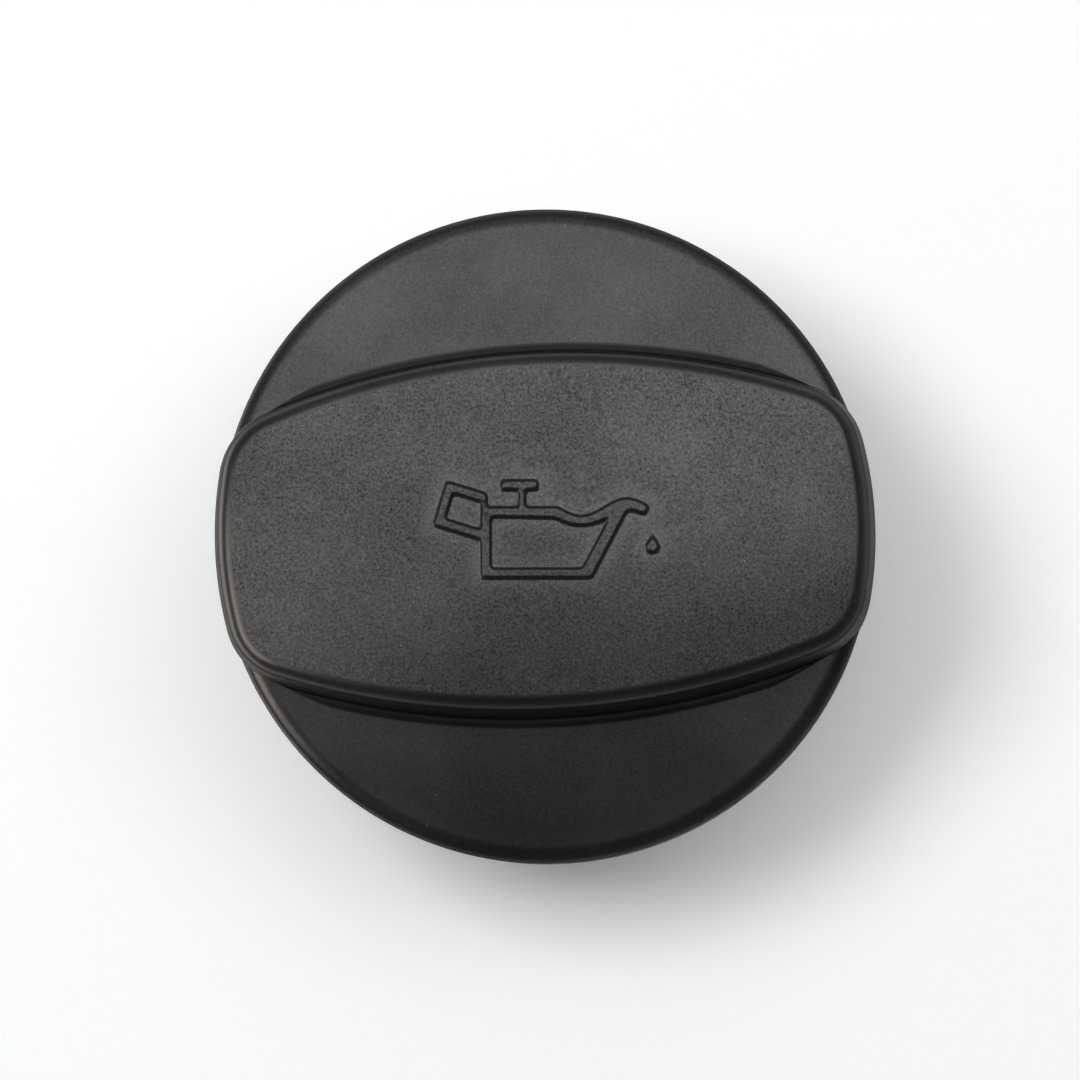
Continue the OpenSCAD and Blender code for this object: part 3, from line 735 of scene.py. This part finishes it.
class CAP_OT_grip(bpy.types.Operator):
    """Adds the barrel-shaped grip, all but the field of the sign"""

    bl_idname = "oilcap.grip"
    bl_label = "Grip"

    def execute(self, context):
        scene = context.scene
        rings, grain = grip_rings(sizes(scene.cap_cover), sizes(scene.cap_grip), sizes(scene.cap_sign))
        piece = add_mesh("grip", rings, ring_faces(*rings.shape[:2]), grain)
        finish_piece(piece, cover_plastic(context), "cover_plastic", "handle_cover")
        return {"FINISHED"}


class CAP_OT_sign(bpy.types.Operator):
    """Adds the field of the grip's top with the raised oil can"""

    bl_idname = "oilcap.sign"
    bl_label = "Oil can sign"

    def execute(self, context):
        scene = context.scene
        points, grain, worn = sign_patch(sizes(scene.cap_cover), sizes(scene.cap_grip), sizes(scene.cap_sign))
        # With crease, dark lines of painted shade run along the sign's flanks.
        piece = add_mesh("oil_can_sign", points, ring_faces(*points.shape[:2], closed=False), grain, crease=True)
        # The halo is a painted sheen round the sign's foot.
        add_share(piece.data, "worn", worn)
        finish_piece(piece, cover_plastic(context), "cover_plastic", "handle_cover")
        return {"FINISHED"}


COVER_GRAIN = 0.45
GRIP_OVERLAP = 0.6


class CAP_OT_cover(bpy.types.Operator):
    """Adds the round cover outside the grip, with its rim and skirt"""

    bl_idname = "oilcap.cover"
    bl_label = "Round cover"

    segments: IntProperty(name="Segments", default=480, min=64, description="Steps round the cover")

    def execute(self, context):
        scene = context.scene
        cover, grip = sizes(scene.cap_cover), sizes(scene.cap_grip)
        profile = cover_profile(cover)
        piece = revolve("round_cover", profile, self.segments, np.full(len(profile), COVER_GRAIN))
        shape = bmesh.new()
        shape.from_mesh(piece.data)
        top = cover.skirt_low + cover.skirt_height
        hidden = [
            f for f in shape.faces
            if f.calc_center_median().z / MM > top
            and outline_depth(grip, f.calc_center_median().x / MM, f.calc_center_median().y / MM) > GRIP_OVERLAP]
        bmesh.ops.delete(shape, geom=hidden, context="FACES")
        shape.to_mesh(piece.data)
        shape.free()
        finish_piece(piece, cover_plastic(context), "cover_plastic", "handle_cover")
        return {"FINISHED"}


# How far inside the outer faces, in millimetres, a face of the solid counts as the cover's inside.
INSIDE_MERGE = 0.002
INSIDE_SKIRT = 1.2
INSIDE_FOOT = 0.02
INSIDE_TOP = 1
INSIDE_GRIP = 1.8
SHARP_ANGLE = math.radians(30)


class CAP_OT_inside(bpy.types.Operator):
    """Adds the cover's hollow side with its ribs and its ring, taken from the solid"""

    bl_idname = "oilcap.inside"
    bl_label = "Inside of the cover"

    def execute(self, context):
        scene = context.scene
        cover, grip = sizes(scene.cap_cover), sizes(scene.cap_grip)
        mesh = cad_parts["handle_cover"].data.copy()
        mesh.name = "cover_inside"
        shape = bmesh.new()
        shape.from_mesh(mesh)
        bmesh.ops.remove_doubles(shape, verts=shape.verts, dist=INSIDE_MERGE * MM)
        centre = np.array([f.calc_center_median() for f in shape.faces]) / MM
        x, y, z = centre.T
        radius = np.hypot(x, y)
        under_dome = z < dome_at(cover, radius) - INSIDE_TOP
        in_grip = (outline_depth(grip, x, y) > INSIDE_GRIP) & (z < crown_at(cover, grip, x, y) - INSIDE_TOP)
        in_skirt = (radius < cover.diameter / 2 - INSIDE_SKIRT) & (z > cover.skirt_low + INSIDE_FOOT)
        kept = in_skirt & (under_dome | in_grip)
        shape.faces.ensure_lookup_table()
        bmesh.ops.delete(shape, geom=[shape.faces[i] for i in np.flatnonzero(~kept)], context="FACES")
        shape.to_mesh(mesh)
        shape.free()
        mesh.shade_smooth()
        mesh.set_sharp_from_angle(angle=SHARP_ANGLE)
        piece = bpy.data.objects.new("cover_inside", mesh)
        scene.collection.objects.link(piece)
        finish_piece(piece, plug_plastic(context), "cover_plastic", "handle_cover")
        return {"FINISHED"}


class CAP_OT_plug(bpy.types.Operator):
    """Gives the bayonet plug its plastic"""

    bl_idname = "oilcap.plug"
    bl_label = "Bayonet plug"

    def execute(self, context):
        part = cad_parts["bayonet_plug"]
        part.data.materials.clear()
        part.data.materials.append(plug_plastic(context))
        return {"FINISHED"}


class CAP_OT_seal(bpy.types.Operator):
    """Gives the sealing ring its rubber"""

    bl_idname = "oilcap.seal"
    bl_label = "Sealing ring"

    def execute(self, context):
        looks = context.scene.cap_finishes
        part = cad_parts["sealing_ring"]
        part.data.materials.clear()
        part.data.materials.append(material_named("nitrile_rubber", lambda name: nitrile_rubber(name, looks.rubber)))
        return {"FINISHED"}


def area_lamp(name, middle, towards, width, height, radiance, tint):
    """A rectangular softbox that faces a point, or straight down where the point is its own middle.
    Its power is radiance times area times pi."""
    light = bpy.data.lights.new(name, "AREA")
    light.shape = "RECTANGLE"
    light.size, light.size_y = width, height
    light.energy = radiance * width * height * math.pi
    light.color = tint
    lamp = bpy.data.objects.new(name, light)
    lamp.location = middle
    look = Vector(towards) - Vector(middle)
    if look.length:
        lamp.rotation_euler = look.to_track_quat("-Z", "Y").to_euler()
    bpy.context.scene.collection.objects.link(lamp)
    return lamp


# The photograph in pixels and pixels per millimetre, heights and the floor in millimetres.
PICTURE = 1080
PICTURE_SCALE = 10.25
AIM_PIXEL = (545.0, 535.5)
AIM_HEIGHT = 25
SENSOR = 36
FLOOR_HALF = 3000
# Tints, then the lamps' places and sizes in metres and their shares of the levels in StageLooks.
COOL = (0.97, 1.0, 1.02)
WARM = (1.0, 0.9, 0.81)
SIDE_PLACE = (-0.75, -0.15, 0.75)
SIDE_AIM = (0, -0.04, 0.75)
SIDE_WIDTH, SIDE_HEIGHT = 0.5, 0.64
CARD_PLACE = (-0.17, -0.02, 0.003)
CARD_AIM = (-0.17, -0.02, 1)
CARD_WIDTH, CARD_DEPTH = 0.2, 0.16
CARD_SHARE = 0.6
KEY_PLACE = (-0.3, 0.17, 0.7)
KEY_WIDTH = 0.3
RIGHT_SHARE = 0.55
BACK_SHARE = 0.25
FRONT_SHARE = 0.5
FRONT_FROM, FRONT_FULL = -0.7, 0.3
CEILING_FROM, CEILING_FULL = 0.2, 0.8


class CAP_OT_stage(bpy.types.Operator):
    """Adds the pale floor, the softboxes and the camera"""

    bl_idname = "oilcap.stage"
    bl_label = "Stage"

    def execute(self, context):
        scene = context.scene
        looks = scene.cap_stage
        corners = [[x * FLOOR_HALF, y * FLOOR_HALF, 0] for x, y in ((-1, -1), (1, -1), (1, 1), (-1, 1))]
        floor = add_mesh("floor", corners, [[0, 1, 2, 3]])
        floor.data.materials.append(self.paper(looks))
        self.lamps(looks)
        self.room(looks)
        self.camera(scene, looks)
        scene.view_settings.view_transform = "Standard"
        return {"FINISHED"}

    def paper(self, looks):
        """White paper: matt, and lifted to white in the camera's view, so the shadow stays and the ground is bright."""
        material = bpy.data.materials.new("white_paper")
        material.use_nodes = True
        tree = material.node_tree
        tree.nodes.clear()
        matt = node(tree, "ShaderNodeBsdfDiffuse", Color=rgba(looks.floor))
        path = node(tree, "ShaderNodeLightPath")
        gloss = node(tree, "ShaderNodeMath", {"operation": "MAXIMUM"},
                     i0=(path, "Is Camera Ray"), i1=(path, "Is Glossy Ray"))
        lift = node(tree, "ShaderNodeMath", {"operation": "MULTIPLY"}, i0=(gloss, 0), i1=looks.floor_white)
        glow = node(tree, "ShaderNodeEmission", Color=(1, 1, 1, 1), Strength=(lift, 0))
        both = node(tree, "ShaderNodeAddShader", i0=(matt, 0), i1=(glow, 0))
        node(tree, "ShaderNodeOutputMaterial", Surface=(both, 0))
        return material

    def lamps(self, looks):
        """A wide softbox over the back half gives the sheen and a small one at the right a brighter patch, and
        behind them the wall is dim. A warm panel at the left is seen in the gloss only. It starts high up, since
        the cap's top would mirror a lower one in a view from the right and turn white. A warm card by the cap's
        left end, out of the camera's view, lights that end from below. A key lamp from the back left, kept out
        of the gloss, throws the shadow."""
        def ceiling_panel(name, height, left, right, near, far, radiance, tint, turn=0):
            """A level panel between angles from the vertical, turned in its plane, all in degrees."""
            x0, x1, y0, y1 = (height * math.tan(math.radians(a)) for a in (left, right, near, far))
            middle = ((x0 + x1) / 2, (y0 + y1) / 2, height)
            area_lamp(name, middle, middle, x1 - x0, y1 - y0, radiance, tint).rotation_euler.z = math.radians(turn)

        ceiling_panel("overhead_softbox", 0.8, -35, 38, 0.5, 24, looks.overhead, COOL, 5)
        ceiling_panel("right_softbox", 0.74, 7, 27, 0, 11, looks.overhead * RIGHT_SHARE, (1, 0.99, 0.97))
        ceiling_panel("back_wall", 0.84, -38, 38, 24, 50, looks.overhead * BACK_SHARE, COOL)
        side = area_lamp("warm_side_panel", SIDE_PLACE, SIDE_AIM, SIDE_WIDTH, SIDE_HEIGHT, looks.side, WARM)
        side.visible_diffuse = False
        card = area_lamp("warm_card", CARD_PLACE, CARD_AIM, CARD_WIDTH, CARD_DEPTH, looks.side * CARD_SHARE, WARM)
        card.visible_diffuse = card.visible_camera = False
        key = area_lamp("key_lamp", KEY_PLACE, (0, 0, 0), KEY_WIDTH, KEY_WIDTH, looks.key, (1, 1, 1))
        key.visible_glossy = False

    def room(self, looks):
        """Dim surroundings: walls that are brighter behind the cap than before it, and a nearly dark ceiling."""
        world = bpy.data.worlds.new("dim_room")
        world.use_nodes = True
        tree = world.node_tree
        tree.nodes.clear()
        way = node(tree, "ShaderNodeTexCoord")
        parts = node(tree, "ShaderNodeSeparateXYZ", Vector=(way, "Generated"))
        front = node(tree, "ShaderNodeMapRange", i0=(parts, "Y"), i1=FRONT_FROM, i2=FRONT_FULL,
                     i3=looks.walls * FRONT_SHARE, i4=looks.walls)
        level = node(tree, "ShaderNodeMapRange", i0=(parts, "Z"), i1=CEILING_FROM, i2=CEILING_FULL,
                     i3=(front, 0), i4=looks.world)
        back = node(tree, "ShaderNodeBackground", Color=(1, 1, 1, 1), Strength=(level, 0))
        node(tree, "ShaderNodeOutputWorld", Surface=(back, 0))
        bpy.context.scene.world = world

    def camera(self, scene, looks):
        """The photograph's view: back along the lean from the cap, rolled, and moved sideways so that the aim
        falls on its pixel. The lens is the picture's scale times the distance."""
        back = Vector((math.sin(looks.lean_x), math.sin(looks.lean_y), 0))
        back.z = math.sqrt(1 - back.x ** 2 - back.y ** 2)
        up = (Vector((0, 1, 0)) - back * back.y).normalized()
        right = up.cross(back)
        right = right * math.cos(looks.roll) - up * math.sin(looks.roll)
        up = back.cross(right)
        aside = (PICTURE / 2 - AIM_PIXEL[0]) / PICTURE_SCALE * MM
        above = (AIM_PIXEL[1] - PICTURE / 2) / PICTURE_SCALE * MM
        spot = Vector((0, 0, AIM_HEIGHT * MM)) + right * aside + up * above + back * looks.distance
        data = bpy.data.cameras.new("camera")
        data.sensor_width = SENSOR
        data.lens = PICTURE_SCALE / MM * looks.distance * SENSOR / PICTURE
        data.clip_start, data.clip_end = 0.01, 20
        taken = bpy.data.objects.new("camera", data)
        scene.collection.objects.link(taken)
        turn = Matrix((right, up, back)).transposed().to_4x4()
        taken.matrix_world = Matrix.Translation(spot) @ turn
        scene.camera = taken


class CAP_PT_panel(bpy.types.Panel):
    """Sizes, finishes and steps of the oil filler cap"""

    bl_idname = "CAP_PT_panel"
    bl_label = "Oil filler cap"
    bl_space_type = "VIEW_3D"
    bl_region_type = "UI"
    bl_category = "Oil cap"

    def draw(self, context):
        layout = self.layout
        for label, attribute, group in GROUPS:
            part = layout.box()
            part.label(text=label)
            for key in group.__annotations__:
                part.prop(getattr(context.scene, attribute), key)
        for operator in OPERATORS:
            layout.operator(operator.bl_idname)


GROUPS = [
    ("Cover", "cap_cover", CoverSizes),
    ("Grip", "cap_grip", GripSizes),
    ("Sign", "cap_sign", SignSizes),
    ("Finishes", "cap_finishes", Finishes),
    ("Stage", "cap_stage", StageLooks),
]
OPERATORS = [CAP_OT_stage, CAP_OT_grip, CAP_OT_sign, CAP_OT_cover, CAP_OT_inside, CAP_OT_plug, CAP_OT_seal]


def register():
    """Adds the property groups to the scene type, then the operators and the panel."""
    for _, attribute, group in GROUPS:
        bpy.utils.register_class(group)
        setattr(bpy.types.Scene, attribute, PointerProperty(type=group))
    for operator in OPERATORS:
        bpy.utils.register_class(operator)
    bpy.utils.register_class(CAP_PT_panel)


def unregister():
    """Takes back all that register added, in the opposite order."""
    bpy.utils.unregister_class(CAP_PT_panel)
    for operator in reversed(OPERATORS):
        bpy.utils.unregister_class(operator)
    for _, attribute, group in reversed(GROUPS):
        delattr(bpy.types.Scene, attribute)
        bpy.utils.unregister_class(group)


def main():
    """Builds the stage and the pieces in order."""
    register()
    bpy.ops.oilcap.stage()
    bpy.ops.oilcap.grip()
    bpy.ops.oilcap.sign()
    bpy.ops.oilcap.cover()
    bpy.ops.oilcap.inside()
    bpy.ops.oilcap.plug()
    bpy.ops.oilcap.seal()


if __name__ == "__main__":
    main()
